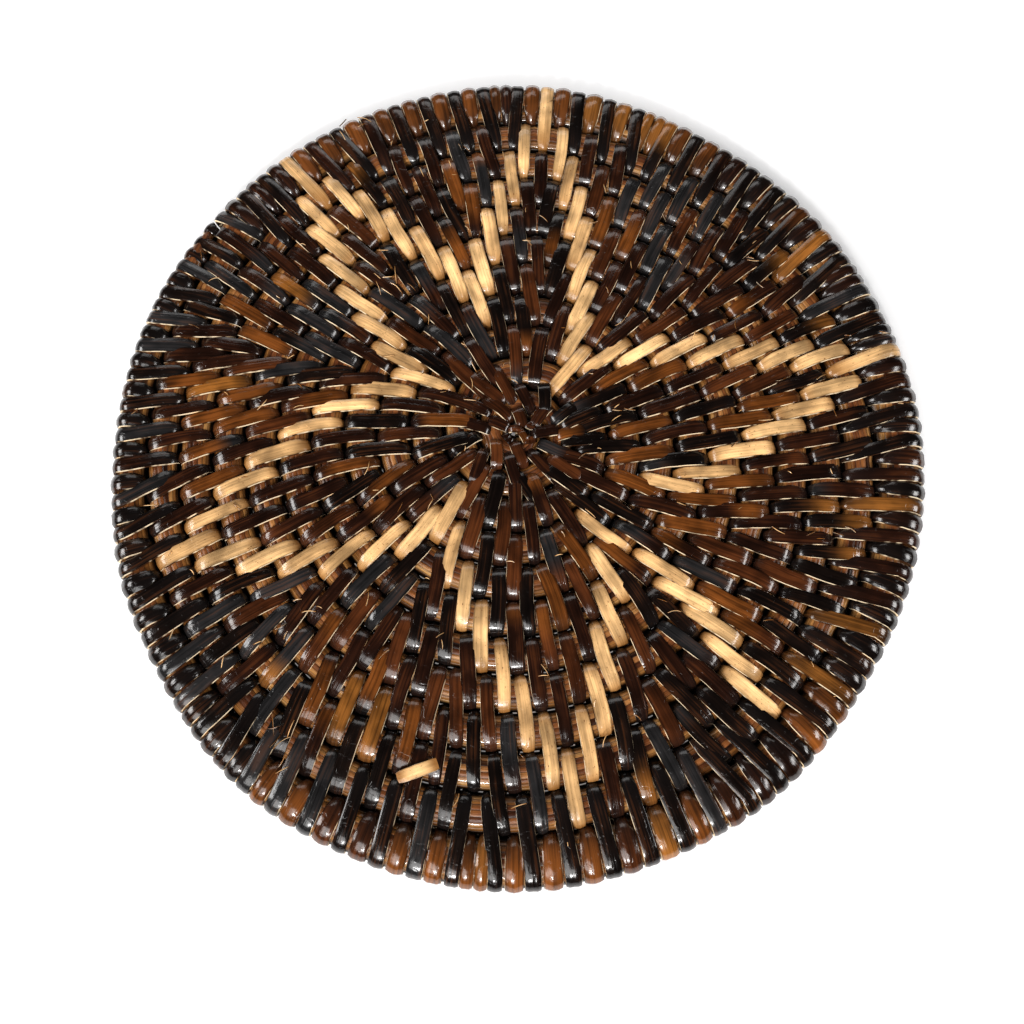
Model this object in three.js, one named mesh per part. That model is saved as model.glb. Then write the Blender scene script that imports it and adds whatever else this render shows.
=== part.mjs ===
import * as THREE from 'three';

// A round coiled rattan trivet. One long bundle of split canes is wound in a flat spiral
// from the hub outwards and sewn turn to turn. The solid is the whole mat with its turns
// raised on both faces and its rounded last turn. Lengths are in millimetres, +Z is up,
// and the mat lies on Z = 0.

const HEIGHT = 9;
const MEAN_RADIUS = 100.5;
const TURN_PITCH = 8.25;
// Radius the outermost groove would start from if the last turn kept its full width
const SPIRAL_RADIUS = 101.8;
const TURNS = 11;
const TAIL_ANGLE = 143;
const TAIL_WIDTH = 0.9;
// Share of a turn in which the last turn narrows to its tail
const TAIL_TAPER = 0.04;
const TAIL_RISE = 0.3;

const TOP_GROOVE = 3.2;
const UNDER_GROOVE = 2.4;
const HUB_RADIUS = 4.5;
const HUB_DIP = 0.8;
const SECTORS = 72;

// The hand-wound shape, anticlockwise from +X: radius of the edge from the hub, and how far
// the turns lie outwards (+) or inwards (-) of an even spiral
const WINDING = [
  { angle: 0, edge: 100.0, sway: -0.6 },
  { angle: 30, edge: 98.4, sway: -0.8 },
  { angle: 60, edge: 97.2, sway: 0.2 },
  { angle: 90, edge: 99.0, sway: 1.6 },
  { angle: 118, edge: 98.4, sway: 3.0 },
  { angle: 134, edge: 98.4, sway: 2.8 },
  { angle: 150, edge: 98.4, sway: -0.4 },
  { angle: 180, edge: 98.4, sway: -0.8 },
  { angle: 210, edge: 100.8, sway: -1.0 },
  { angle: 240, edge: 104.4, sway: -0.5 },
  { angle: 270, edge: 105.0, sway: -0.8 },
  { angle: 300, edge: 103.4, sway: -1.0 },
  { angle: 330, edge: 100.4, sway: -0.3 },
  { angle: 360, edge: 100.0, sway: -0.6 },
];

// Places across one turn, from its inner groove (0) to its outer groove (1), and how far
// the face stands there, from the groove (0) to the crest (1)
const TOP_TURN = [
  { across: 0.0, rise: 0.0 },
  { across: 0.2, rise: 0.78 },
  { across: 0.5, rise: 1.0 },
  { across: 0.8, rise: 0.78 },
];
const UNDER_TURN = [
  { across: 0.0, rise: 0.0 },
  { across: 0.24, rise: 1.0 },
  { across: 0.76, rise: 1.0 },
];

// Across the last turn, which ends in the rounded edge: from mid height (0) to the face (1)
const TOP_EDGE = [
  { across: 0.2, rise: 0.84 },
  { across: 0.45, rise: 1.0 },
  { across: 0.72, rise: 0.88 },
  { across: 0.91, rise: 0.52 },
];
const UNDER_EDGE = [
  { across: 0.24, rise: 1.0 },
  { across: 0.6, rise: 1.0 },
  { across: 0.88, rise: 0.6 },
];

const MIDDLE = HEIGHT / 2;

const mix = (from, to, part) => from + (to - from) * part;

function windingAt(degrees) {
  const turned = ((degrees % 360) + 360) % 360;
  const next = WINDING.findIndex((row) => row.angle > turned);
  const from = WINDING[next - 1];
  const to = WINDING[next];
  const part = (turned - from.angle) / (to.angle - from.angle);
  const eased = part * part * (3 - 2 * part);
  return { edge: mix(from.edge, to.edge, eased), sway: mix(from.sway, to.sway, eased) };
}

// Radius of the groove outside turn number `turn`, counted inwards from the edge, at a share
// of a whole turn past the tail. Inner turns stay rounder than the outline. Near the tail
// the outermost groove runs out at the edge.
function grooveRadius(turn, share) {
  const { edge, sway } = windingAt(TAIL_ANGLE + share * 360);
  const even = SPIRAL_RADIUS - TURN_PITCH * (turn + share);
  const reach = even / MEAN_RADIUS;
  const radius = even * (1 + (edge / MEAN_RADIUS - 1) * reach ** 2) + sway * reach;
  if (turn > 1 || share >= TAIL_TAPER) {
    return radius;
  }
  const opened = Math.sin((Math.PI / 2) * (share / TAIL_TAPER));
  return mix(edge - TAIL_WIDTH, radius, opened);
}

// One column is a radial line of points on one face, from the hub to the edge. `wound` tells
// how far along the winding each point is, so that neighbouring columns can be matched.
function columnPoints(index, turnPlaces, edgePlaces, grooveDepth, faceSide) {
  const share = index / SECTORS;
  const degrees = TAIL_ANGLE + share * 360;
  const innermost = index === 0 ? TURNS : TURNS - 1;
  const face = (drop) => MIDDLE + faceSide * (MIDDLE - drop);
  const points = [];
  const add = (wound, radius, drop) => points.push({ wound, radius, degrees, z: face(drop) });

  add(innermost + share + 1, HUB_RADIUS, faceSide > 0 ? HUB_DIP : 0);
  const firstGroove = grooveRadius(innermost, share);
  for (const { across, rise } of turnPlaces.slice(1)) {
    const drop = grooveDepth * 0.5 * (1 - rise);
    add(innermost + share + 1 - across, mix(HUB_RADIUS, firstGroove, across), drop);
  }
  const fade = 1 - 0.6 * (index === 0 ? 1 : share);
  for (let turn = innermost; turn > 1; turn -= 1) {
    const inner = grooveRadius(turn, share);
    const outer = grooveRadius(turn - 1, share);
    for (const { across, rise } of turnPlaces) {
      const depth = turn === innermost && across === 0 ? grooveDepth * fade : grooveDepth;
      add(turn + share - across, mix(inner, outer, across), depth * (1 - rise));
    }
  }
  const lastGroove = grooveRadius(1, share);
  const { edge } = windingAt(degrees);
  const fullness = mix(TAIL_RISE, 1, Math.min(1, share / TAIL_TAPER));
  add(1 + share, lastGroove, grooveDepth);
  for (const { across, rise } of edgePlaces) {
    add(1 + share - across, mix(lastGroove, edge, across), MIDDLE * (1 - rise * fullness));
  }
  return points;
}

function coiledMatGeometry() {
  const positions = [];
  const triangles = [];

  const place = ({ wound, radius, degrees, z }) => {
    const angle = THREE.MathUtils.degToRad(degrees);
    positions.push(radius * Math.cos(angle), radius * Math.sin(angle), z);
    return { wound, vertex: positions.length / 3 - 1 };
  };

  // Joins two neighbouring columns, which may hold different numbers of points
  const join = (from, to, topFace) => {
    const face = (a, b, c) => triangles.push(a, topFace ? b : c, topFace ? c : b);
    let i = 0;
    let j = 0;
    while (i < from.length - 1 || j < to.length - 1) {
      const fromNext = i < from.length - 1 ? from[i + 1].wound : -Infinity;
      const toNext = j < to.length - 1 ? to[j + 1].wound : -Infinity;
      if (fromNext >= toNext) {
        face(from[i].vertex, from[i + 1].vertex, to[j].vertex);
        i += 1;
      } else {
        face(from[i].vertex, to[j + 1].vertex, to[j].vertex);
        j += 1;
      }
    }
  };

  const columns = [];
  for (let index = 0; index < SECTORS; index += 1) {
    const share = index / SECTORS;
    const degrees = TAIL_ANGLE + share * 360;
    const rim = place({ wound: share, radius: windingAt(degrees).edge, degrees, z: MIDDLE });
    const top = columnPoints(index, TOP_TURN, TOP_EDGE, TOP_GROOVE, 1).map(place);
    const under = columnPoints(index, UNDER_TURN, UNDER_EDGE, UNDER_GROOVE, -1).map(place);
    columns.push({ top: [...top, rim], under: [...under, rim] });
  }
  const hubTop = place({ wound: TURNS, radius: 0, degrees: 0, z: HEIGHT - HUB_DIP });
  const hubUnder = place({ wound: TURNS, radius: 0, degrees: 0, z: 0 });
  columns.forEach((column, index) => {
    const next = columns[(index + 1) % SECTORS];
    join(column.top, next.top, true);
    join(column.under, next.under, false);
    triangles.push(hubTop.vertex, column.top[0].vertex, next.top[0].vertex);
    triangles.push(hubUnder.vertex, next.under[0].vertex, column.under[0].vertex);
  });

  const geometry = new THREE.BufferGeometry();
  geometry.setAttribute('position', new THREE.Float32BufferAttribute(positions, 3));
  geometry.setIndex(triangles);
  return geometry;
}

// The frame's origin is under the middle of the outline, and the hub lies a little off it
function centreOnOutline(geometry) {
  geometry.computeBoundingBox();
  const middle = geometry.boundingBox.getCenter(new THREE.Vector3());
  geometry.translate(-middle.x, -middle.y, 0);
  geometry.computeVertexNormals();
}

const rattan = new THREE.MeshStandardMaterial({
  name: 'rattan',
  color: 0x4a2c1a,
  roughness: 0.42,
  metalness: 0,
});

const matGeometry = coiledMatGeometry();
centreOnOutline(matGeometry);

const coiledMat = new THREE.Mesh(matGeometry, rattan);
coiledMat.name = 'coiled_mat';

const trivet = new THREE.Group();
trivet.name = 'woven_trivet';
trivet.add(coiledMat);

export default trivet;
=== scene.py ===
import math
import random

import bpy
import numpy as np
from mathutils import Matrix, Vector


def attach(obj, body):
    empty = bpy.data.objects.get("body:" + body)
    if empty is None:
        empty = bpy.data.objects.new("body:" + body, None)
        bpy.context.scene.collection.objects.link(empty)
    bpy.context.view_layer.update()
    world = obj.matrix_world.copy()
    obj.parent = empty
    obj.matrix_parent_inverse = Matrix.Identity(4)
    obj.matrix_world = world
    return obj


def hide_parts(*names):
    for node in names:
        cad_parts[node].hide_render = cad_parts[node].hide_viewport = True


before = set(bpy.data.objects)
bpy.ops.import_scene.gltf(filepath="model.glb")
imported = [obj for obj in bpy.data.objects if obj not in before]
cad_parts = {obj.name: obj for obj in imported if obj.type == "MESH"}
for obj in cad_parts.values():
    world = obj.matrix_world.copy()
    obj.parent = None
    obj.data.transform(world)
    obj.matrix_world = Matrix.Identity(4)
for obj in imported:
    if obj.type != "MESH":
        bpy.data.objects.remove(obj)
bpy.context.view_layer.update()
bpy.ops.object.select_all(action="DESELECT")

# The trivet lies on a plain pale table and is seen from close above, a little from the front.
# Soft lights stand low all round it, so that bends and rounded edges shine and flats stay dark.
# The table glows a little, which keeps the trivet's shadow faint.
MM = 0.001
# The camera's place is in millimetres, the table and the lights are in metres
CAMERA_PLACE = (-1.57, -60.67, 204.2)
CAMERA_ELEVATION = 77.413
CAMERA_ROLL = 1.969
FOCAL_PIXELS = 843.261
FRAME_PIXELS = 1024
SENSOR_MM = 36.0
NEAREST_SEEN = 0.01
TABLE_SIZE = 3.0
TABLE_COLOR = (0.88, 0.88, 0.885, 1.0)
TABLE_ROUGHNESS = 0.7
TABLE_GLOW = 0.22
SKY_COLOR = (0.92, 0.96, 1.0, 1.0)
SKY_STRENGTH = 0.045
LIGHT_COLOR = (1.0, 0.99, 0.98)
LIGHTS = [
    {"name": "front_softbox", "place": (-0.4, -1.0, 1.08), "size": (1.0, 0.8), "watts": 12.3},
    {"name": "front_spark", "place": (-0.1, -1.1, 0.85), "size": (0.16, 0.12), "watts": 7.0},
    {"name": "left_light", "place": (-1.1, -0.05, 0.65), "size": (0.5, 0.4), "watts": 6.5},
    {"name": "right_light", "place": (1.1, -0.1, 0.65), "size": (0.5, 0.3), "watts": 5.0},
    {"name": "back_light", "place": (-0.2, 1.2, 0.7), "size": (1.0, 0.4), "watts": 2.6},
]

elevation = math.radians(CAMERA_ELEVATION)
roll = math.radians(CAMERA_ROLL)
level_right = Vector((1.0, 0.0, 0.0))
level_up = Vector((0.0, math.sin(elevation), math.cos(elevation)))
look = Vector((0.0, math.cos(elevation), -math.sin(elevation)))
camera_right = math.cos(roll) * level_right + math.sin(roll) * level_up
camera_up = math.cos(roll) * level_up - math.sin(roll) * level_right
bpy.ops.object.camera_add()
camera = bpy.context.object
camera.name = "camera"
camera.data.sensor_width = SENSOR_MM
camera.data.lens = FOCAL_PIXELS * SENSOR_MM / FRAME_PIXELS
camera.data.clip_start = NEAREST_SEEN
turn = Matrix((camera_right, camera_up, -look)).transposed().to_4x4()
camera.matrix_world = Matrix.Translation(Vector(CAMERA_PLACE) * MM) @ turn
bpy.context.scene.camera = camera

for light in LIGHTS:
    bpy.ops.object.light_add(type="AREA", location=light["place"])
    lamp = bpy.context.object
    lamp.name = light["name"]
    lamp.data.shape = "RECTANGLE"
    lamp.data.size, lamp.data.size_y = light["size"]
    lamp.data.energy = light["watts"]
    lamp.data.color = LIGHT_COLOR
    lamp.rotation_euler = (-Vector(light["place"])).to_track_quat("-Z", "Y").to_euler()

sky = bpy.data.worlds.new("sky")
sky.use_nodes = True
glow = sky.node_tree.nodes["Background"].inputs
glow["Color"].default_value = SKY_COLOR
glow["Strength"].default_value = SKY_STRENGTH
bpy.context.scene.world = sky
bpy.context.scene.view_settings.view_transform = "Standard"
bpy.context.scene.view_settings.look = "Medium High Contrast"

bpy.ops.mesh.primitive_plane_add(size=TABLE_SIZE)
table = bpy.context.object
table.name = "table"
paint = bpy.data.materials.new("table_paint")
paint.use_nodes = True
painted = paint.node_tree.nodes["Principled BSDF"].inputs
painted["Base Color"].default_value = TABLE_COLOR
painted["Roughness"].default_value = TABLE_ROUGHNESS
painted["Emission Color"].default_value = TABLE_COLOR
painted["Emission Strength"].default_value = TABLE_GLOW
table.data.materials.append(paint)

# The work is laid out first: where the coil winds, and where the strips of the star and the
# others between them cross it. The coil is wound by hand, so its turns are not quite even.
# Lengths are in millimetres and angles in degrees, as in the solid.
HEIGHT = 9.0
MIDDLE = HEIGHT / 2
MEAN_RADIUS = 100.5
TURN_PITCH = 8.25
# Radius that the outermost groove would start from if the last turn kept its full width
SPIRAL_RADIUS = 101.8
TAIL_ANGLE = 143.0
TAIL_WIDTH = 0.9
# Share of a turn in which the last turn narrows to its tail
TAIL_TAPER = 0.04
HUB = np.array((-0.86, 3.08, 0.0))
# Anticlockwise from the right: radius of the edge, and how far the turns lie outwards (+) or
# inwards (-) of an even spiral
WINDING = [
    {"angle": 0, "edge": 100.0, "sway": -0.6},
    {"angle": 30, "edge": 98.4, "sway": -0.8},
    {"angle": 60, "edge": 97.2, "sway": 0.2},
    {"angle": 90, "edge": 99.0, "sway": 1.6},
    {"angle": 118, "edge": 98.4, "sway": 3.0},
    {"angle": 134, "edge": 98.4, "sway": 2.8},
    {"angle": 150, "edge": 98.4, "sway": -0.4},
    {"angle": 180, "edge": 98.4, "sway": -0.8},
    {"angle": 210, "edge": 100.8, "sway": -1.0},
    {"angle": 240, "edge": 104.4, "sway": -0.5},
    {"angle": 270, "edge": 105.0, "sway": -0.8},
    {"angle": 300, "edge": 103.4, "sway": -1.0},
    {"angle": 330, "edge": 100.4, "sway": -0.3},
    {"angle": 360, "edge": 100.0, "sway": -0.6},
]
# The long strips start this far apart along a groove, from the tail to the last turns
LONG_SPACING = 8.8
FIRST_WOUND = 0.004
LAST_WOUND = 9.7
# How the strips settle: rounds, how far they go in each, and how firmly they keep to their
# usual slant, and those of the star to their place
LATTICE_ROUNDS = 120
LATTICE_STEP = 0.3
LATTICE_STIFFNESS = 0.12
STAR_HOLD = 0.35
# Slant of a strip from the radius: usual, how much more at the left and right, the most, and
# the share of that by which it may slant backwards
LEAN = 8.0
LEAN_SWING = 4.0
STEEPEST_LEAN = 24
BACKWARD_SHARE = 1 / 3
# The star is looked for on this many turns, its legs' places are found in this many rounds,
# and a leg takes in strips that start up to this far past its ends
STAR_TURNS = 10
LEG_ROUNDS = 20
LEG_SLACK = 2
# Each leg of the star runs between two places, and bows this many degrees to one side
STAR_LEGS = [
    {"inner": 47.5, "from": 343.6, "outer": 99.2, "to": 374.8, "bow": 3.0},
    {"inner": 29.5, "from": 53.7, "outer": 86.6, "to": 17.0, "bow": -3.0},
    {"inner": 37.6, "from": 61.0, "outer": 99.0, "to": 87.1, "bow": 0.0},
    {"inner": 45.8, "from": 109.1, "outer": 86.9, "to": 90.8, "bow": -0.6},
    {"inner": 54.2, "from": 113.2, "outer": 98.4, "to": 131.1, "bow": 0.2},
    {"inner": 35.3, "from": 155.0, "outer": 86.6, "to": 134.0, "bow": -0.2},
    {"inner": 43.1, "from": 165.9, "outer": 91.3, "to": 202.8, "bow": 1.3},
    {"inner": 33.7, "from": 235.0, "outer": 83.1, "to": 205.7, "bow": 2.0},
    {"inner": 41.7, "from": 247.3, "outer": 92.6, "to": 280.4, "bow": 2.5},
    {"inner": 40.0, "from": 313.5, "outer": 83.4, "to": 283.7, "bow": -1.6},
    {"inner": 53.5, "from": 318.8, "outer": 90.2, "to": 313.2, "bow": 2.0},
]


def winding_at(angle):
    """Radius of the edge, and how far the turns lie outwards of an even spiral."""
    turned = angle % 360
    for row, following in zip(WINDING, WINDING[1:]):
        if row["angle"] <= turned < following["angle"]:
            part = (turned - row["angle"]) / (following["angle"] - row["angle"])
            eased = part * part * (3 - 2 * part)
            edge = row["edge"] + (following["edge"] - row["edge"]) * eased
            return edge, row["sway"] + (following["sway"] - row["sway"]) * eased


def share_of(angle):
    """How far round from the tail an angle is, in turns."""
    return ((angle - TAIL_ANGLE) % 360) / 360


def angle_of(wound):
    """The angle of a place that is this many turns from the tail."""
    return TAIL_ANGLE + wound * 360


def groove_radius(wound):
    """Radius of the groove that is this many turns, counted inwards, from the tail."""
    edge, sway = winding_at(angle_of(wound))
    if wound < 1:
        return edge
    even = SPIRAL_RADIUS - TURN_PITCH * wound
    reach = even / MEAN_RADIUS
    radius = even * (1 + (edge / MEAN_RADIUS - 1) * reach**2) + sway * reach
    past_tail = (wound - 1) / TAIL_TAPER
    if past_tail < 1:
        start = edge - TAIL_WIDTH
        radius = start + (radius - start) * math.sin(math.pi / 2 * past_tail)
    return max(radius, 0.0)


def place_at(radius, angle, z):
    """A place by its radius and angle from the hub and its height."""
    turned = math.radians(angle)
    return HUB + (radius * math.cos(turned), radius * math.sin(turned), z)


def leg_angle(leg, radius):
    """Where a leg of the star is at a radius."""
    part = math.log(radius / leg["inner"]) / math.log(leg["outer"] / leg["inner"])
    return leg["from"] + (leg["to"] - leg["from"]) * part + leg["bow"] * 4 * part * (1 - part)


def star_wounds():
    """Where natural strips start, turn by turn, along the wavy line of the star."""
    found = []
    for leg in STAR_LEGS:
        for turn_number in range(STAR_TURNS):
            angle = (leg["from"] + leg["to"]) / 2
            for _ in range(LEG_ROUNDS):
                radius = groove_radius(turn_number + share_of(angle))
                angle = leg_angle(leg, radius)
            wound = turn_number + share_of(angle)
            settled = abs(groove_radius(wound) - radius) <= 1
            if settled and leg["inner"] - LEG_SLACK <= radius <= leg["outer"] + LEG_SLACK:
                found.append(wound)
    return sorted(found)


def lean_at(angle):
    """Usual slant of a strip from the radius, in degrees: more at the left and right."""
    return LEAN + LEAN_SWING * math.cos(2 * math.radians(angle))


def long_strips():
    """Each strip's start along the winding, whether it is part of the star, and its slant.
    The strips over a turn push each other apart until they lie evenly."""
    wound, star = [], []
    marks = [FIRST_WOUND] + star_wounds() + [LAST_WOUND]
    for mark, following in zip(marks, marks[1:]):
        gap = following - mark
        count = max(round(gap * math.tau * groove_radius((mark + following) / 2) / LONG_SPACING), 1)
        wound += [mark + gap * step / count for step in range(count)]
        star += [mark > FIRST_WOUND] + [False] * (count - 1)
    wound = np.array(wound)
    star = np.array(star)
    outer = np.array([groove_radius(w) for w in wound])
    middle = np.array([groove_radius(w + 1) for w in wound])
    inner = np.array([groove_radius(w + 2) for w in wound])
    own_crest = (outer + middle) / 2
    next_crest = (middle + inner) / 2
    usual = np.tan(np.radians([lean_at(angle_of(w)) for w in wound]))
    to_own = (outer - own_crest) / own_crest / math.tau
    to_next = (outer - next_crest) / next_crest / math.tau
    lean = usual.copy()
    set_out = wound.copy()
    steepest = math.tan(math.radians(STEEPEST_LEAN))
    for _ in range(LATTICE_ROUNDS):
        own = wound - to_own * lean
        following = wound + 1 - to_next * lean
        places = np.concatenate((own, following))
        order = np.argsort(places)
        ordered = places[order]
        pull = np.zeros(len(places))
        pull[order[1:-1]] = (ordered[:-2] + ordered[2:]) / 2 - ordered[1:-1]
        own_pull, next_pull = np.split(pull, 2)
        lean -= LATTICE_STEP * (next_pull - own_pull) / (to_next - to_own + 1e-6)
        lean += LATTICE_STIFFNESS * (usual - lean)
        lean = np.clip(lean, -steepest * BACKWARD_SHARE, steepest)
        wound += LATTICE_STEP * (own_pull + next_pull) / 2
        wound += np.where(star, STAR_HOLD, 0.0) * (set_out - wound)
    return sorted(zip(wound.tolist(), star.tolist(), lean.tolist()))


def crossings():
    """Where strips cross the coil's crest, in turns along it."""
    found = []
    for wound, _, lean in chart:
        outer = groove_radius(wound)
        for turns in (0, 1):
            crest = (groove_radius(wound + turns) + groove_radius(wound + turns + 1)) / 2
            found.append(wound + turns - (outer - crest) / crest / math.tau * lean)
    return sorted(found)


chart = long_strips()

# The foundation coil is a bundle of fine split canes, wound in one flat spiral from the middle
# to a tail at the edge. The canes run side by side along it and show between the strips: thin
# brown ones on its crest and smooth paler ones down its flanks.
COIL_HALF_HEIGHT = 3.35
COIL_FILL = 0.97
COIL_ROUNDING = 2.2
# Its ends, in turns from the tail, and how far apart its rings are
COIL_START = 0.012
COIL_END = 11.6
COIL_STEP = 4.6
# Towards the middle and the tail the bundle is thinner: half its height at the hub, what that
# gains with the radius, its most in half widths, and the least half width
COIL_HUB_HALF_HEIGHT = 2.3
COIL_HEIGHT_GAIN = 0.06
COIL_TALLEST = 1.6
COIL_LEAST_HALF_WIDTH = 0.25
COIL_LEAST_RADIUS = 2.0
# Room that the wraps round the edge take
EDGE_ROOM = 0.6
# How much a strip pulls the bundle in where it crosses it, and how far along that reaches
COIL_PINCH = 0.075
PINCH_REACH = 1.4
CANES = 22
CANE_TWIST = 0.003
# Places on textures along the coil and the strips are in centimetres
TEXTURE_UNIT = 10


def rounded(value, rounding):
    """A sine or cosine made fuller, so that a ring of them is a rounded square."""
    return math.copysign(abs(value) ** (2 / rounding), value)


def add_object(name, points, faces):
    """A new mesh object from points in millimetres and faces."""
    mesh = bpy.data.meshes.new(name)
    mesh.from_pydata((np.asarray(points) * MM).tolist(), [], faces)
    made = bpy.data.objects.new(name, mesh)
    bpy.context.collection.objects.link(made)
    return made


def add_values(made, name, values):
    layer = made.data.attributes.new(name, "FLOAT", "POINT")
    layer.data.foreach_set("value", np.asarray(values, dtype=np.float32))


class Shade:
    """One output of a material's nodes. Sums on it add the nodes that work them out."""

    def __init__(self, tree, socket=None):
        self.tree = tree
        self.socket = socket

    def node(self, kind, settings, sockets, output=0):
        made = self.tree.nodes.new("ShaderNode" + kind)
        for name, value in settings.items():
            if name == "stops":
                ramp = made.color_ramp.elements
                while len(ramp) < len(value):
                    ramp.new(0.5)
                for element, (position, color) in zip(ramp, value):
                    element.position = position
                    element.color = (*color, 1.0)
            else:
                setattr(made, name, value)
        for name, value in sockets.items():
            if isinstance(value, Shade):
                self.tree.links.new(value.socket, made.inputs[name])
            else:
                made.inputs[name].default_value = value
        return Shade(self.tree, made.outputs[output])

    def maths(self, operation, first, second=0.0):
        return self.node("Math", {"operation": operation}, {0: first, 1: second})

    def __add__(self, other):
        return self.maths("ADD", self, other)

    def __radd__(self, other):
        return self.maths("ADD", other, self)

    def __sub__(self, other):
        return self.maths("SUBTRACT", self, other)

    def __rsub__(self, other):
        return self.maths("SUBTRACT", other, self)

    def __mul__(self, other):
        return self.maths("MULTIPLY", self, other)

    def __rmul__(self, other):
        return self.maths("MULTIPLY", other, self)

    def size(self):
        """This value without its sign."""
        return self.maths("ABSOLUTE", self)

    def mixed(self, other, factor):
        """This colour going over to another one by a factor."""
        settings = {"data_type": "RGBA"}
        return self.node("Mix", settings, {0: factor, 6: self, 7: other}, output=2)

    def lit(self, factor):
        """This colour made lighter or darker by a factor."""
        return self.node("VectorMath", {"operation": "SCALE"}, {0: self, 3: factor})

    def stretched(self, across, along):
        """These flat places scaled by different amounts across and along."""
        settings = {"operation": "MULTIPLY"}
        return self.node("VectorMath", settings, {0: self, 1: (across, along, 1.0)})

    def noise(self, detail, rough=0.5):
        values = {"Vector": self, "Scale": 1.0, "Detail": detail, "Roughness": rough}
        return self.node("TexNoise", {"noise_dimensions": "2D"}, values)

    def between(self, low, high):
        """How far this value is from a low one (0) to a high one (1)."""
        values = {"Value": self, "From Min": low, "From Max": high}
        return self.node("MapRange", {"interpolation_type": "SMOOTHSTEP"}, values)


def new_finish(name):
    """A new material, the start of its nodes and its surface."""
    finish = bpy.data.materials.new(name)
    finish.use_nodes = True
    tree = finish.node_tree
    return finish, Shade(tree), tree.nodes["Principled BSDF"]


def feed(start, surface, name, value):
    start.tree.links.new(value.socket, surface.inputs[name])


cane_finish, start, surface = new_finish("split_canes")
flat = start.node("UVMap", {"uv_map": "UVMap"}, {})
flank = start.node("Attribute", {"attribute_name": "flank"}, {}, output=2)
cane_place = start.node("SeparateXYZ", {}, {0: flat})
cane_number = cane_place.maths("FLOOR", cane_place)
cane_side = (cane_place - cane_number) * 2 - 1
cane_round = 1 - cane_side * cane_side
along = start.node("SeparateXYZ", {}, {0: flat}, output=1)
# Each cane has a tone of its own, which changes slowly along it
cane_line = start.node("CombineXYZ", {}, {0: cane_number * 5.37, 1: along * 0.5})
own_tone = cane_line.noise(1.0)
fibres = flat.stretched(6.0, 1.2).noise(3.0, 0.6)
patches = flat.stretched(0.15, 0.6).noise(2.0)
crest_color = start.node(
    "ValToRGB",
    {
        "stops": [
            (0.32, (0.018, 0.005, 0.002)),
            (0.44, (0.115, 0.037, 0.013)),
            (0.58, (0.26, 0.100, 0.033)),
            (0.76, (0.48, 0.245, 0.090)),
        ]
    },
    {0: 0.75 * own_tone + 0.25 * patches},
)
flank_color = start.node(
    "ValToRGB",
    {
        "stops": [
            (0.3, (0.115, 0.041, 0.012)),
            (0.5, (0.30, 0.134, 0.038)),
            (0.72, (0.54, 0.300, 0.110)),
        ]
    },
    {0: 0.5 * own_tone + 0.5 * patches},
)
# Deep in the grooves the canes are painted dark, as painted shade where no light gets
groove_painted_shade = 1 - 0.97 * flank.between(0.22, 0.6)
cane_color = crest_color.mixed(flank_color, flank.between(0.04, 0.2))
cane_light = (0.3 + 1.2 * fibres) * (0.55 + 0.55 * cane_round.between(0.0, 0.5))
cane_color = cane_color.lit(groove_painted_shade * cane_light)
feed(start, surface, "Base Color", cane_color)
feed(start, surface, "Roughness", 0.28 + 0.16 * fibres)
surface.inputs["Specular IOR Level"].default_value = 0.3
surface.inputs["Coat Weight"].default_value = 0.25
surface.inputs["Coat Roughness"].default_value = 0.08
cane_relief = {"Strength": 0.5, "Distance": 0.0004, "Height": 0.75 * cane_round + 0.25 * fibres}
feed(start, surface, "Normal", start.node("Bump", {}, cane_relief))

strip_places = np.array(crossings())
marks = [COIL_START] + [w for w in strip_places if COIL_START < w < COIL_END] + [COIL_END]
coil_wounds = []
for mark, following in zip(marks, marks[1:]):
    gap = following - mark
    arc = gap * math.tau * max(groove_radius((mark + following + 1) / 2), COIL_LEAST_RADIUS)
    count = 2 * max(round(arc / COIL_STEP), 1) if arc > COIL_STEP / 2 else 1
    coil_wounds += [mark + gap * step / count for step in range(count)]
coil_wounds.append(COIL_END)
coil_points, coil_uv, coil_flank = [], [], []
coil_length = 0.0
last_centre = None
for wound in coil_wounds:
    angle = angle_of(wound)
    outer = groove_radius(wound) - (EDGE_ROOM if wound < 1 else 0.0)
    inner = groove_radius(wound + 1)
    middle_radius = (outer + inner) / 2
    half_width = max((outer - inner) / 2 * COIL_FILL, COIL_LEAST_HALF_WIDTH)
    half_height = COIL_HUB_HALF_HEIGHT + COIL_HEIGHT_GAIN * middle_radius
    half_height = min(COIL_HALF_HEIGHT, COIL_TALLEST * half_width, half_height)
    to_strip = float(np.min(np.abs(strip_places - wound))) * math.tau * middle_radius
    pinched = math.exp(-((to_strip / PINCH_REACH) ** 2))
    half_height *= 1 + COIL_PINCH * (1 - 2 * pinched)
    centre = place_at(middle_radius, angle, MIDDLE)
    if last_centre is not None:
        coil_length += float(np.linalg.norm(centre - last_centre))
    last_centre = centre
    for cane in range(CANES):
        around = math.tau * cane / CANES + CANE_TWIST * coil_length
        cos, sin = math.cos(around), math.sin(around)
        across = half_width * rounded(cos, COIL_ROUNDING)
        up = half_height * rounded(sin, COIL_ROUNDING)
        coil_points.append(place_at(middle_radius + across, angle, MIDDLE + up))
        coil_uv.append((cane, coil_length / TEXTURE_UNIT))
        coil_flank.append(1 - abs(sin))
coil_faces = []
for ring in range(len(coil_wounds) - 1):
    for cane in range(CANES):
        here = ring * CANES + cane
        beside = ring * CANES + (cane + 1) % CANES
        coil_faces.append((beside, here, here + CANES, beside + CANES))
coil_faces.append(tuple(range(CANES)))
coil_faces.append(tuple(reversed(range(len(coil_points) - CANES, len(coil_points)))))
coil = add_object("foundation_coil", coil_points, coil_faces)
add_values(coil, "flank", coil_flank)
corner_points = np.zeros(len(coil.data.loops), dtype=np.int64)
coil.data.loops.foreach_get("vertex_index", corner_points)
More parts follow.
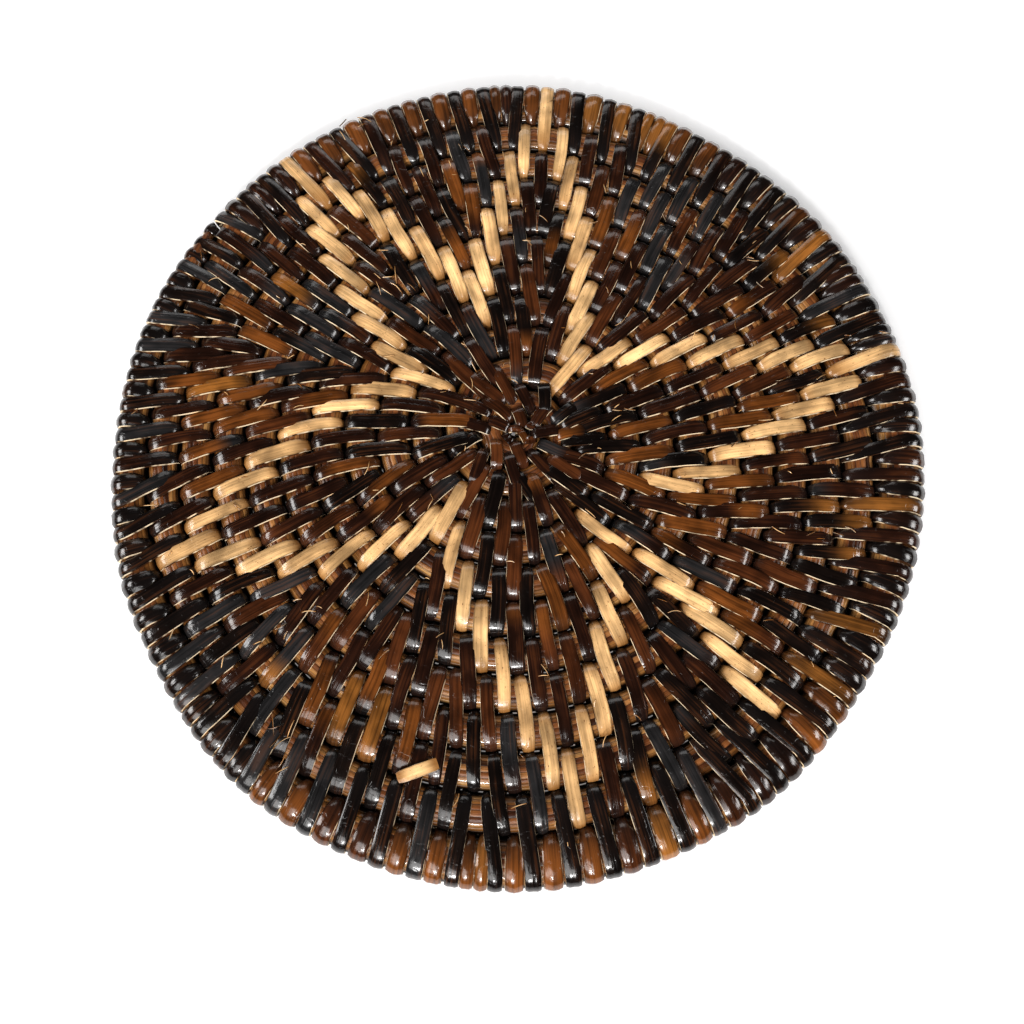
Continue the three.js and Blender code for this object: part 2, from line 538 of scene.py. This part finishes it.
corner_uv = np.array(coil_uv, dtype=np.float32)[corner_points]
# The last cane of each ring ends where the first one starts, one whole round further on
ring_corners = corner_uv[: 4 * CANES * (len(coil_wounds) - 1)].reshape(-1, 4, 2)
closing = np.ptp(ring_corners[:, :, 0], axis=1) > 1
ring_corners[:, :, 0] += CANES * (closing[:, None] & (ring_corners[:, :, 0] < 1))
coil_layer = coil.data.uv_layers.new(name="UVMap")
coil_layer.data.foreach_set("uv", corner_uv.ravel())
coil.data.materials.append(cane_finish)
coil.data.polygons.foreach_set("use_smooth", [True] * len(coil.data.polygons))
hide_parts("coiled_mat")
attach(coil, "root")

# The long strips are split rattan about 3 mm wide, dyed or left natural and lacquered. Each
# goes down into a groove, over two turns and down again, and so binds a turn to the next one.
STRIP_WIDTH = 3.4
STRIP_THICKNESS = 0.66
# Across a strip, in widths, and up from its underside, in thicknesses
STRIP_PROFILE = [
    {"across": -0.5, "up": 0.0},
    {"across": 0.5, "up": 0.0},
    {"across": 0.478, "up": 0.74},
    {"across": 0.0, "up": 1.0},
    {"across": -0.478, "up": 0.74},
]
SHOULDER = 0.74
# How far the middle of a strip stands over its shoulders, in times of the profile, and by how
# much it is pressed in
CROWNS = (0.8, 2.4)
CREASES = (1.0, 1.0, 1.0, 0.8)
SMOOTH_ANGLE = 48
LONG_STATIONS = 13
# How much the edge that faces the viewer's lower right stands proud, and where it faces
EDGE_LIFT = 0.075
LOWER_RIGHT = (0.5, -0.87)
# Slants of a strip to one side: one for all of it, and one from end to end
TILT = 0.08
TWIST = 0.12
WIDTH_SPREAD = (0.9, 1.1)
WIDTH_WOBBLE = 0.018
# How far from its ends a strip is narrowed, and by what share of its width
NARROW_START = 2.6
NARROW_END = 3.0
NARROWED = (0.22, 0.34)
LONG_CREST = 8.2
CREST_SPREAD = (-0.15, 0.12)
LONG_END = 4.6
LONG_INSET = 0.45
LONG_ROUNDING = 3.0
ROUNDING_SPREAD = (0.85, 1.2)
# No long strip ends nearer to the hub
LONG_INNERMOST = 10.5
# How far a strip bows to one side and dips between its ends, and how long the dip is
BOW = 0.45
DIP = 0.4
DIP_LENGTHS = (0.09, 0.16)
# The underside's strips are pressed flat on the table, and their ends lie deep in the grooves
UNDER_LIFT = 0.3
UNDER_END = 5.8
# Where each strip starts on its texture, in times of its seed
SEED_ACROSS = 1.3
SEED_ALONG = 3.7
TONES = {
    "natural": (0.84, 0.53, 0.255),
    "honey": (0.29, 0.118, 0.026),
    "brown": (0.17, 0.058, 0.013),
    "russet": (0.075, 0.024, 0.008),
    "dark": (0.027, 0.0092, 0.0045),
    "black": (0.0100, 0.0053, 0.0038),
    "slate": (0.028, 0.0262, 0.0264),
}
# Black strips with a honey patch, in shares of the strip's length
PATCHES = {
    "patched": {"middle": 0.42, "reach": 0.13},
    "tipped": {"middle": 0.08, "reach": 0.34},
}
DYE_SPREAD = 0.2
# Natural strips go this far over to honey
MOST_AGED = 0.28
# This share of the dyed strips goes over to a second tone, within this share of the length
TWO_TONED = 0.25
TONE_CHANGE = 0.2
SECOND_TONES = ("slate", "dark", "brown")
# Dyes of the other strips by turn and angle. Later rows go over earlier ones.
ZONES = [
    {"turns": (0, 12), "angles": (0, 360), "tones": "black dark dark black dark russet"},
    {"turns": (0, 0), "angles": (0, 55), "tones": "black slate dark black"},
    {"turns": (0, 0), "angles": (90, 143), "tones": "black dark"},
    {"turns": (0, 0), "angles": (143, 320), "tones": "black black slate black"},
    {"turns": (0, 0), "angles": (320, 360), "tones": "dark black dark tipped"},
    {"turns": (0, 0), "angles": (35.5, 39.5), "tones": "honey"},
    {"turns": (0, 0), "angles": (57, 63), "tones": "black"},
    {"turns": (0, 0), "angles": (63, 71), "tones": "patched"},
    {"turns": (0, 0), "angles": (71, 82), "tones": "black"},
    {"turns": (1, 1), "angles": (0, 338), "tones": "black slate dark black tipped dark"},
    {"turns": (2, 3), "angles": (206, 290), "tones": "dark black slate dark russet"},
    {"turns": (1, 2), "angles": (338, 360), "tones": "dark tipped black dark"},
    {"turns": (2, 2), "angles": (226, 252), "tones": "honey brown honey"},
    {"turns": (2, 2), "angles": (252, 264), "tones": "dark"},
    {"turns": (2, 3), "angles": (95, 107), "tones": "brown"},
    {"turns": (1, 1), "angles": (146, 205), "tones": "black dark slate black dark"},
    {"turns": (2, 2), "angles": (146, 170), "tones": "dark black brown dark russet"},
    {"turns": (2, 3), "angles": (170, 205), "tones": "brown honey dark russet brown"},
    {"turns": (3, 3), "angles": (146, 170), "tones": "brown honey russet brown dark"},
    {"turns": (2, 4), "angles": (38, 76), "tones": "russet dark brown slate dark russet"},
    {"turns": (4, 5), "angles": (143, 172), "tones": "slate black slate slate"},
    {"turns": (5, 8), "angles": (117, 137), "tones": "slate slate black"},
    {"turns": (3, 4), "angles": (225, 265), "tones": "russet dark black dark"},
    {"turns": (5, 5), "angles": (225, 257), "tones": "slate black"},
    {"turns": (6, 8), "angles": (262, 312), "tones": "brown russet dark black"},
    {"turns": (3, 8), "angles": (0, 45), "tones": "dark black russet dark brown"},
    {"turns": (3, 8), "angles": (320, 360), "tones": "dark black russet dark brown"},
    {"turns": (8, 12), "angles": (0, 360), "tones": "black dark black dark russet"},
]

strip_draw = random.Random(11)


def tone_at(wound):
    """A tone drawn from those of the zone that this place on the winding is in."""
    tones = ""
    for zone in ZONES:
        first, last = zone["turns"]
        low, high = zone["angles"]
        if first <= int(wound) <= last and low <= angle_of(wound) % 360 <= high:
            tones = zone["tones"]
    return strip_draw.choice(tones.split())


def dye_along(tone, stations):
    """The strip's colour at each station. Dyed ones sometimes go over to another tone."""
    if tone in PATCHES:
        patch = PATCHES[tone]
        off = (np.linspace(0, 1, stations) - patch["middle"]) / patch["reach"]
        part = np.exp(-(off**4))[:, None]
        return np.array(TONES["black"]) * (1 - part) + np.array(TONES["honey"]) * part
    own = np.array(TONES[tone]) * strip_draw.uniform(1 - DYE_SPREAD, 1 + DYE_SPREAD)
    if tone == "natural":
        aged = strip_draw.uniform(0, MOST_AGED)
        own = own * (1 - aged) + np.array(TONES["honey"]) * aged
    colors = np.tile(own, (stations, 1))
    if tone != "natural" and strip_draw.random() < TWO_TONED:
        other = np.array(TONES[strip_draw.choice(SECOND_TONES)])
        past = np.linspace(0, 1, stations) - strip_draw.uniform(0.25, 0.75)
        part = np.clip(past / TONE_CHANGE + 0.5, 0, 1)[:, None]
        colors = colors * (1 - part) + other * part
    return colors


def strip_over(line, side, tone, width, narrowed=NARROWED, crown=None):
    """A strip with its underside along a line of places, its left side, dye and width, and
    how much it is narrowed where it goes down at its start and its end."""
    stations = len(line)
    steps = np.linalg.norm(np.diff(line, axis=0), axis=1)
    from_start = np.concatenate(([0.0], np.cumsum(steps)))
    to_end = from_start[-1] - from_start
    taper = narrowed[0] * np.exp(-((from_start / NARROW_START) ** 3))
    taper += narrowed[1] * np.exp(-((to_end / NARROW_END) ** 3))
    wobble = np.array([strip_draw.gauss(0, WIDTH_WOBBLE) for _ in range(stations)])
    tilt = strip_draw.uniform(-TILT, TILT)
    twist = strip_draw.uniform(-TWIST, TWIST) * np.linspace(-1, 1, stations)
    lifted = EDGE_LIFT * np.dot(LOWER_RIGHT, side[:2])
    side = np.tile(side, (stations, 1))
    side[:, 2] += tilt + twist + lifted
    return {
        "line": line,
        "side": side,
        "width": width * (1 - taper + wobble),
        "thick": STRIP_THICKNESS,
        "crown": strip_draw.uniform(*CROWNS) if crown is None else crown,
        "crease": strip_draw.choice(CREASES),
        "dye": dye_along(tone, stations),
        "natural": 1.0 if tone == "natural" else 0.0,
        "seed": strip_draw.uniform(0, 40),
    }


def add_strips(name, strips, finishes, profile):
    """One joined mesh of strips with this profile. No point of it is under the table's face."""
    across = np.array([corner["across"] for corner in profile])
    up = np.array([corner["up"] for corner in profile])
    count = len(profile)
    skin = np.minimum(up, np.roll(up, -1)) >= SHOULDER
    points, faces, kinds, uv = [], [], [], []
    dyes, naturals, sides, ends = [], [], [], []
    base = 0
    for strip in strips:
        line = strip["line"]
        stations = len(line)
        ahead = np.gradient(line, axis=0)
        ahead /= np.linalg.norm(ahead, axis=1)[:, None]
        side = strip["side"] - ahead * np.sum(strip["side"] * ahead, axis=1)[:, None]
        side /= np.linalg.norm(side, axis=1)[:, None]
        face_up = np.cross(ahead, side)
        risen = np.where(up > SHOULDER, SHOULDER + (up - SHOULDER) * strip["crown"], up)
        risen = np.where(up == 1.0, risen * strip["crease"], risen)
        flat_across = across[None, :] * strip["width"][:, None]
        body = line[:, None, :] + side[:, None, :] * flat_across[:, :, None]
        body = body + face_up[:, None, :] * (risen * strip["thick"])[None, :, None]
        body[:, :, 2] = np.maximum(body[:, :, 2], 0.0)
        points.append(body.reshape(-1, 3))
        steps = np.linalg.norm(np.diff(line, axis=0), axis=1)
        along = np.concatenate(([0.0], np.cumsum(steps))) / TEXTURE_UNIT
        along = np.tile(along[:, None] + strip["seed"] * SEED_ALONG, (1, count))
        flat_across = flat_across / TEXTURE_UNIT + strip["seed"] * SEED_ACROSS
        uv.append(np.stack((flat_across, along), -1).reshape(-1, 2))
        dyes.append(np.repeat(strip["dye"], count, axis=0))
        naturals.append(np.full(stations * count, strip["natural"]))
        sides.append(np.tile(across, stations))
        ends.append(np.repeat(np.abs(np.linspace(-1, 1, stations)), count))
        for station in range(stations - 1):
            for corner in range(count):
                here = base + station * count + corner
                beside = base + station * count + (corner + 1) % count
                faces.append((here, beside, beside + count, here + count))
                kinds.append(0 if skin[corner] else 1)
        faces.append(tuple(base + corner for corner in reversed(range(count))))
        faces.append(tuple(base + (stations - 1) * count + corner for corner in range(count)))
        kinds += [1, 1]
        base += stations * count
    made = add_object(name, np.concatenate(points), faces)
    mesh = made.data
    corner_points = np.zeros(len(mesh.loops), dtype=np.int64)
    mesh.loops.foreach_get("vertex_index", corner_points)
    layer = mesh.uv_layers.new(name="UVMap")
    layer.data.foreach_set("uv", np.concatenate(uv).astype(np.float32)[corner_points].ravel())
    dye = mesh.attributes.new("dye", "FLOAT_COLOR", "POINT")
    rgb = np.concatenate(dyes)
    rgba = np.concatenate((rgb, np.ones((len(rgb), 1))), axis=1)
    dye.data.foreach_set("color", rgba.astype(np.float32).ravel())
    add_values(made, "natural", np.concatenate(naturals))
    add_values(made, "across", np.concatenate(sides))
    add_values(made, "end", np.concatenate(ends))
    for finish in finishes:
        mesh.materials.append(finish)
    mesh.polygons.foreach_set("material_index", kinds)
    bpy.ops.object.select_all(action="DESELECT")
    made.select_set(True)
    bpy.context.view_layer.objects.active = made
    bpy.ops.object.shade_smooth_by_angle(angle=math.radians(SMOOTH_ANGLE))
    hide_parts("coiled_mat")
    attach(made, "root")
    return made


skin_finish, start, surface = new_finish("lacquered_cane_skin")
flat = start.node("UVMap", {"uv_map": "UVMap"}, {})
dye = start.node("Attribute", {"attribute_name": "dye"}, {})
natural = start.node("Attribute", {"attribute_name": "natural"}, {}, output=2)
across = start.node("Attribute", {"attribute_name": "across"}, {}, output=2)
end = start.node("Attribute", {"attribute_name": "end"}, {}, output=2)
grain = flat.stretched(50.0, 0.8).noise(3.0, 0.6)
ridges = flat.stretched(17.0, 0.3).noise(1.0)
furrows = flat.stretched(8.0, 0.3).noise(0.0)
patches = flat.stretched(2.0, 1.2).noise(2.0)
creases = flat.stretched(3.0, 6.0).noise(1.0).between(0.66, 0.74)
specks = flat.stretched(30.0, 12.0).noise(1.0).between(0.72, 0.8) * natural
light = 0.2 + (1.0 - 0.4 * natural) * grain
light = light + (0.65 - 0.35 * natural) * ridges.between(0.25, 0.75) + 0.32 * natural
skin_color = dye.lit(light * (0.5 + 0.95 * patches.between(0.2, 0.8)))
# Where the dye is worn brown cane shows, and natural strips are specked
worn = (ridges * patches).between(0.26, 0.44) * 0.65
skin_color = skin_color.mixed((0.115, 0.040, 0.012, 1.0), worn * (1 - natural) * (1 - grain))
skin_color = skin_color.mixed((0.13, 0.045, 0.012, 1.0), specks * 0.8)
# Towards their bent ends natural strips are honey brown, and the dyed ones take a painted grey
# sheen
bent = end.between(0.35, 0.95)
skin_color = skin_color.mixed((0.40, 0.17, 0.040, 1.0), bent * natural * 0.85)
rim_shade = across.size().between(0.34, 0.5)
# Painted grey sheen near the dyed strips' bent ends
skin_color = skin_color.mixed((0.030, 0.026, 0.026, 1.0), bent * (1 - natural) * 0.4)
skin_color = skin_color.lit((1 - 0.45 * rim_shade) * (1 - 0.2 * bent))
feed(start, surface, "Base Color", skin_color)
feed(start, surface, "Roughness", 0.14 + 0.12 * grain + 0.08 * natural)
surface.inputs["Coat Weight"].default_value = 0.32
surface.inputs["Coat Roughness"].default_value = 0.07
surface.inputs["Specular IOR Level"].default_value = 0.42
blisters = flat.stretched(11.0, 7.0).noise(0.0).between(0.68, 0.8)
skin_height = 0.12 * grain + 0.45 * ridges + 0.9 * furrows - 0.2 * creases + 0.25 * blisters
skin_relief = {"Strength": 0.4, "Distance": 0.0003, "Height": skin_height}
feed(start, surface, "Normal", start.node("Bump", {}, skin_relief))

edge_finish, start, surface = new_finish("cut_cane_edge")
flat = start.node("UVMap", {"uv_map": "UVMap"}, {})
pith = flat.stretched(3.0, 2.6).noise(2.0)
pale = start.node(
    "ValToRGB",
    {"stops": [(0.42, (0.05, 0.02, 0.008)), (0.56, (0.95, 0.78, 0.55))]},
    {0: pith},
)
feed(start, surface, "Base Color", pale)
feed(start, surface, "Roughness", 0.3 + 0.3 * pith)


def arch(stations, rounding):
    """Places along a strip and how high it stands there, closer set at its bent ends."""
    part = (1 - np.cos(np.linspace(0, math.pi, stations))) / 2
    rise = (1 - np.abs(2 * part - 1) ** rounding) ** (1 / rounding)
    return part, rise


def arched_line(start_place, end_place, crest, sign):
    """Places of a strip from groove to groove, and the direction of its left side."""
    part, rise = arch(LONG_STATIONS, LONG_ROUNDING * strip_draw.uniform(*ROUNDING_SPREAD))
    heading = (end_place - start_place) / np.linalg.norm(end_place - start_place)
    side = np.cross((0.0, 0.0, sign), heading)
    bow = strip_draw.uniform(-BOW, BOW) * np.sin(math.pi * part)
    line = start_place + np.outer(part, end_place - start_place) + np.outer(bow, side)
    lowest = LONG_END if sign > 0 else UNDER_END
    height = lowest + (crest - lowest) * rise
    dip = strip_draw.uniform(0.0, DIP)
    height -= dip * np.exp(-(((part - 0.5) / strip_draw.uniform(*DIP_LENGTHS)) ** 2))
    line[:, 2] = height if sign > 0 else HEIGHT - height + UNDER_LIFT
    return line, side


def long_strip(wound, star, lean, sign):
    """A strip over two turns, on the upper face (sign 1) or the lower one (sign -1). One that
    starts at the edge goes over one turn only."""
    outer = groove_radius(wound + 1 if wound < 1 else wound) - LONG_INSET
    inner = max(groove_radius(wound + 2) + LONG_INSET, LONG_INNERMOST)
    angle = angle_of(wound)
    swing = (outer - inner) * lean / ((outer + inner) / 2)
    start_place = place_at(outer, angle, 0.0)
    end_place = place_at(inner, angle - math.degrees(swing), 0.0)
    crest = LONG_CREST + strip_draw.uniform(*CREST_SPREAD)
    line, side = arched_line(start_place, end_place, crest, sign)
    width = STRIP_WIDTH * strip_draw.uniform(*WIDTH_SPREAD)
    return strip_over(line, side, "natural" if star else tone_at(wound), width)


upper = [long_strip(wound, star, lean, 1) for wound, star, lean in chart if wound >= 1]
add_strips("long_strips", upper, (skin_finish, edge_finish), STRIP_PROFILE)

# The underside is sewn by the same strips, which come up in the grooves between the turns. Those
# that wrap the edge above go over one turn only here.
lower = [long_strip(wound, star, lean, -1) for wound, star, lean in chart]
add_strips("underside_strips", lower, (skin_finish, edge_finish), STRIP_PROFILE)

# The edge is wrapped with the same strips, laid side by side round the last turn. Every second
# or third one is longer and reaches over the next turn as well.
WRAP_PROFILE = [
    {"across": -0.5, "up": 0.0},
    {"across": 0.5, "up": 0.0},
    {"across": 0.478, "up": 0.74},
    {"across": 0.27, "up": 0.917},
    {"across": 0.0, "up": 1.0},
    {"across": -0.27, "up": 0.917},
    {"across": -0.478, "up": 0.74},
]
WRAP_SPACING = 3.7
WRAP_STATIONS = 13
# Its width in shares of the room it has
WRAP_WIDTH_SPREAD = (0.9, 0.98)
WRAP_NARROWED = (0.3, 0.0)
WRAP_CROWN = 3.2
# A longer strip has this many stations over the two turns and round the edge
OVER_STATIONS = 9
ROUND_STATIONS = 14
LONGER_WIDTH_SPREAD = (0.95, 1.08)
LONGER_NARROWED = (0.4, 0.0)
LONGER_CROWN = 2.2
# The strips' underside round the last turn: how far inside its edge and its groove, and where
# they start and end round it, from the outside (0) over the top (90) to the groove (180)
RIM_INSET = 0.7
RIM_GROOVE_INSET = 0.3
RIM_ROUNDING = 2.4
RIM_HALF_HEIGHT = 3.72
TAIL_RISE = 0.3
RIM_TOP = 78
RIM_UNDER = -168
WRAP_END = 172
WRAP_ZONES = [
    {"angles": (0, 55), "tones": "black black dark"},
    {"angles": (55, 90), "tones": "honey brown honey"},
    {"angles": (90, 143), "tones": "brown dark brown"},
    {"angles": (143, 236), "tones": "black"},
    {"angles": (236, 303), "tones": "brown honey brown brown russet honey"},
    {"angles": (303, 311), "tones": "dark"},
    {"angles": (311, 320), "tones": "brown"},
    {"angles": (320, 360), "tones": "black black dark"},
]


def wrap_tone(angle):
    """A tone drawn from those of the stretch of edge that this angle is in."""
    for zone in WRAP_ZONES:
        low, high = zone["angles"]
        if low <= angle % 360 <= high:
            return strip_draw.choice(zone["tones"].split())


def rim_places(angle, turns_round):
    """Places on the last turn's surface, at angles round its section."""
    wound = share_of(angle)
    outer = winding_at(angle)[0] - RIM_INSET
    inner = groove_radius(wound + 1) + RIM_GROOVE_INSET
    middle_radius = (outer + inner) / 2
    half_width = (outer - inner) / 2
    fullness = min(1.0, TAIL_RISE + (1 - TAIL_RISE) * wound / TAIL_TAPER)
    places = []
    for turned in np.radians(turns_round):
        across = half_width * rounded(math.cos(turned), RIM_ROUNDING)
        up = RIM_HALF_HEIGHT * fullness * rounded(math.sin(turned), RIM_ROUNDING)
        up += UNDER_LIFT if up < 0 else 0.0
        places.append(place_at(middle_radius + across, angle, MIDDLE + up))
    return np.array(places)


def rim_side(angle):
    """The direction along the edge, which is a wrap's left side."""
    return np.array((-math.sin(math.radians(angle)), math.cos(math.radians(angle)), 0.0))


rim_long = [row for row in chart if row[0] < 1]
edge_strips = []
for wound, star, lean in rim_long:
    angle = angle_of(wound)
    rim = rim_places(angle, np.linspace(RIM_TOP, RIM_UNDER, ROUND_STATIONS))
    inner = groove_radius(wound + 2) + LONG_INSET
    crest = math.hypot(*(rim[0] - HUB)[:2])
    swing = math.degrees((crest - inner) * lean / ((crest + inner) / 2))
    end_place = place_at(inner, angle - swing, 0.0)
    # From the rim's crest, a quarter of the way along the whole arch, to its far end
    part = np.sin(np.linspace(0, math.pi / 2, OVER_STATIONS))[1:]
    over = rim[0] + np.outer(part, end_place - rim[0])
    rise = (1 - np.abs(1.5 * part - 0.5) ** LONG_ROUNDING) ** (1 / LONG_ROUNDING)
    step_up = rim[0][2] - LONG_CREST
    over[:, 2] = LONG_END + (LONG_CREST - LONG_END) * rise + step_up * (1 - part) ** 2
    line = np.concatenate((over[::-1], rim))
    width = STRIP_WIDTH * strip_draw.uniform(*LONGER_WIDTH_SPREAD)
    tone = "natural" if star else tone_at(wound)
    side = rim_side(angle)
    edge_strips.append(strip_over(line, side, tone, width, LONGER_NARROWED, LONGER_CROWN))
rim_marks = [row[0] for row in rim_long] + [rim_long[0][0] + 1]
for mark, following in zip(rim_marks, rim_marks[1:]):
    gap = following - mark
    arc = gap * math.tau * winding_at(angle_of((mark + following) / 2))[0]
    count = max(round(arc / WRAP_SPACING), 1)
    for step in range(1, count):
        angle = angle_of(mark + gap * step / count)
        line = rim_places(angle, np.linspace(WRAP_END, -WRAP_END, WRAP_STATIONS))
        width = arc / count * strip_draw.uniform(*WRAP_WIDTH_SPREAD)
        side = rim_side(angle)
        tone = wrap_tone(angle)
        edge_strips.append(strip_over(line, side, tone, width, WRAP_NARROWED, WRAP_CROWN))
add_strips("edge_wrapping", edge_strips, (skin_finish, edge_finish), WRAP_PROFILE)

# The hub is where the weaving began: short strips sewn over the first small turns, each to its
# own length, round a knot of curled ends.
HUB_CREST = 8.15
HUB_CREST_SPREAD = (-0.35, 0.25)
HUB_STRIP_WIDTH = 3.0
KNOT_STRIP_WIDTH = 1.9
# Each runs from its outer end, at a radius and an angle, to its inner one
HUB_STRIPS = [
    {"inner": 8.0, "from": 113, "outer": 20.0, "to": 132, "tone": "russet"},
    {"inner": 7.1, "from": 98, "outer": 19.0, "to": 112, "tone": "russet"},
    {"inner": 6.3, "from": 58, "outer": 12.7, "to": 93, "tone": "dark"},
    {"inner": 3.3, "from": 115, "outer": 12.4, "to": 135, "tone": "russet"},
    {"inner": 8.0, "from": 37, "outer": 14.5, "to": 66, "tone": "black"},
    {"inner": 8.0, "from": 144, "outer": 17.7, "to": 152, "tone": "dark"},
    {"inner": 6.6, "from": 177, "outer": 14.8, "to": 172, "tone": "dark"},
    {"inner": 2.3, "from": 154, "outer": 7.8, "to": 157, "tone": "dark"},
    {"inner": 8.8, "from": 19, "outer": 16.2, "to": 29, "tone": "black"},
    {"inner": 3.5, "from": 355, "outer": 10.0, "to": 6, "tone": "dark"},
    {"inner": 9.3, "from": 186, "outer": 17.0, "to": 200, "tone": "black"},
    {"inner": 8.7, "from": 210, "outer": 17.0, "to": 233, "tone": "dark"},
    {"inner": 5.8, "from": 198, "outer": 10.5, "to": 242, "tone": "russet"},
    {"inner": 2.5, "from": 246, "outer": 8.5, "to": 282, "tone": "russet"},
    {"inner": 5.4, "from": 244, "outer": 14.5, "to": 274, "tone": "dark"},
    {"inner": 5.1, "from": 301, "outer": 15.5, "to": 311, "tone": "dark"},
    {"inner": 5.7, "from": 336, "outer": 15.5, "to": 338, "tone": "dark"},
    {"inner": 9.6, "from": 322, "outer": 19.8, "to": 325, "tone": "russet"},
    {"inner": 1.8, "from": 54, "outer": 6.4, "to": 97, "tone": "russet"},
    {"inner": 4.0, "from": 22, "outer": 10.5, "to": 44, "tone": "dark"},
    {"inner": 9.4, "from": 356, "outer": 17.5, "to": 4, "tone": "black"},
    {"inner": 9.8, "from": 268, "outer": 17.5, "to": 286, "tone": "black"},
]
# Curled ends of the knot: the two ends of each from the hub, rightwards and away, and its crest
KNOT_CURLS = [
    {"start": (-2.0, 0.7), "end": (1.2, 0.3), "crest": 8.1, "tone": "russet"},
    {"start": (0.2, 0.6), "end": (2.2, -2.4), "crest": 8.0, "tone": "brown"},
    {"start": (1.6, -1.7), "end": (4.4, -1.3), "crest": 7.7, "tone": "russet"},
    {"start": (-3.4, -0.4), "end": (-1.4, -2.6), "crest": 7.6, "tone": "dark"},
    {"start": (1.9, 2.4), "end": (4.6, 1.3), "crest": 7.6, "tone": "dark"},
]
hub_strips = []
for sign in (1, -1):
    for row in HUB_STRIPS:
        start_place = place_at(row["outer"], sign * row["to"], 0.0)
        end_place = place_at(row["inner"], sign * row["from"], 0.0)
        crest = HUB_CREST + strip_draw.uniform(*HUB_CREST_SPREAD)
        line, side = arched_line(start_place, end_place, crest, sign)
        hub_strips.append(strip_over(line, side, row["tone"], HUB_STRIP_WIDTH))
    for row in KNOT_CURLS:
        start_place = HUB + (*row["start"], 0.0)
        end_place = HUB + (*row["end"], 0.0)
        line, side = arched_line(start_place, end_place, row["crest"], sign)
        hub_strips.append(strip_over(line, side, row["tone"], KNOT_STRIP_WIDTH))
add_strips("hub_strips", hub_strips, (skin_finish, edge_finish), STRIP_PROFILE)

# Fine splits have come off the strips here and there: hair-thin pale fibres that curl up from
# the edges, and one short splinter of natural cane that lies across the strips.
FIBRE_COUNT = 150
FIBRE_WIDTH = 0.2
FIBRE_STATIONS = 5
FIBRE_LENGTHS = (1.2, 4.5)
# How far from the hub they lie, and how high over the strips' undersides at their ends and
# how much more between them. A small share of the face round the hub has none.
FIBRE_REACH = 97
FIBRE_RAISE = 0.35
FIBRE_LIFTS = (0.0, 0.35)
BARE_SHARE = 0.02
# Their turn from the radius, in degrees, and how much they bend, in radians
FIBRE_TURN = 38
FIBRE_BEND = 0.9
TUFT_LENGTHS = (3, 7)
TUFT_LIFTS = (0.1, 0.5)
FIBRE_TUFTS = [
    {"angle": 235, "radius": 94, "spread": 4.5, "count": 7},
    {"angle": 120, "radius": 96, "spread": 3.0, "count": 4},
    {"angle": 130, "radius": 55, "spread": 4.0, "count": 5},
]
FIBRE_TONES = ("natural", "natural", "honey")
# The splinter lies between two places, stands highest in its first half, goes down to `end` in
# the other, and its first tip is bent down by `dip`
SPLINTER = {"outer": 84.8, "from": 253.6, "inner": 79.5, "to": 258.8}
SPLINTER_HEIGHTS = {"crest": 9.05, "end": 8.2, "dip": 0.5}
SPLINTER_TIP = 0.2
SPLINTER_WIDTH = 2.9
SPLINTER_WIDTHS = [
    {"part": 0.0, "width": 0.8},
    {"part": 0.1, "width": 1.0},
    {"part": 0.9, "width": 1.0},
    {"part": 1.0, "width": 0.9},
]
fibre_draw = random.Random(5)


def fibre(radius, angle, length, lift):
    """A thin split that curls up from the face and back to it."""
    start_place = place_at(radius, angle, 0.0)
    heading = math.radians(angle + 180 + fibre_draw.gauss(0, FIBRE_TURN))
    part = np.linspace(0, 1, FIBRE_STATIONS)
    turned = heading + fibre_draw.uniform(-FIBRE_BEND, FIBRE_BEND) * part
    steps = np.stack((np.cos(turned), np.sin(turned), np.zeros(FIBRE_STATIONS)), -1)
    line = start_place + np.cumsum(steps * length / FIBRE_STATIONS, axis=0)
    line[:, 2] = LONG_CREST + FIBRE_RAISE + lift * np.sin(math.pi * part)
    side = np.array((-math.sin(heading), math.cos(heading), 0.0))
    made = strip_over(line, side, fibre_draw.choice(FIBRE_TONES), FIBRE_WIDTH, (0.0, 0.0))
    made["thick"] = FIBRE_WIDTH
    return made


loose = []
for _ in range(FIBRE_COUNT):
    radius = FIBRE_REACH * math.sqrt(fibre_draw.uniform(BARE_SHARE, 1))
    length = fibre_draw.uniform(*FIBRE_LENGTHS)
    angle = fibre_draw.uniform(0, 360)
    loose.append(fibre(radius, angle, length, fibre_draw.uniform(*FIBRE_LIFTS)))
for tuft in FIBRE_TUFTS:
    for _ in range(tuft["count"]):
        radius = tuft["radius"] + fibre_draw.uniform(-1, 1) * tuft["spread"]
        aside = fibre_draw.uniform(-1, 1) * tuft["spread"]
        angle = tuft["angle"] + math.degrees(aside / tuft["radius"])
        length = fibre_draw.uniform(*TUFT_LENGTHS)
        loose.append(fibre(radius, angle, length, fibre_draw.uniform(*TUFT_LIFTS)))
crest = SPLINTER_HEIGHTS["crest"]
splinter_start = place_at(SPLINTER["outer"], SPLINTER["from"], crest)
splinter_end = place_at(SPLINTER["inner"], SPLINTER["to"], crest)
heading = splinter_end - splinter_start
part = np.linspace(0, 1, LONG_STATIONS)
splinter_line = splinter_start + np.outer(part, heading)
splinter_line[:, 2] -= (crest - SPLINTER_HEIGHTS["end"]) * np.clip(part * 2 - 1, 0, 1) ** 1.5
splinter_line[:, 2] -= SPLINTER_HEIGHTS["dip"] * np.clip(1 - part / SPLINTER_TIP, 0, 1)
side = np.cross((0.0, 0.0, 1.0), heading / np.linalg.norm(heading))
places = [row["part"] for row in SPLINTER_WIDTHS]
widths = [row["width"] for row in SPLINTER_WIDTHS]
width = SPLINTER_WIDTH * np.interp(part, places, widths)
loose.append(strip_over(splinter_line, side, "natural", width, (0.0, 0.0)))
add_strips("loose_fibres", loose, (skin_finish, edge_finish), STRIP_PROFILE)
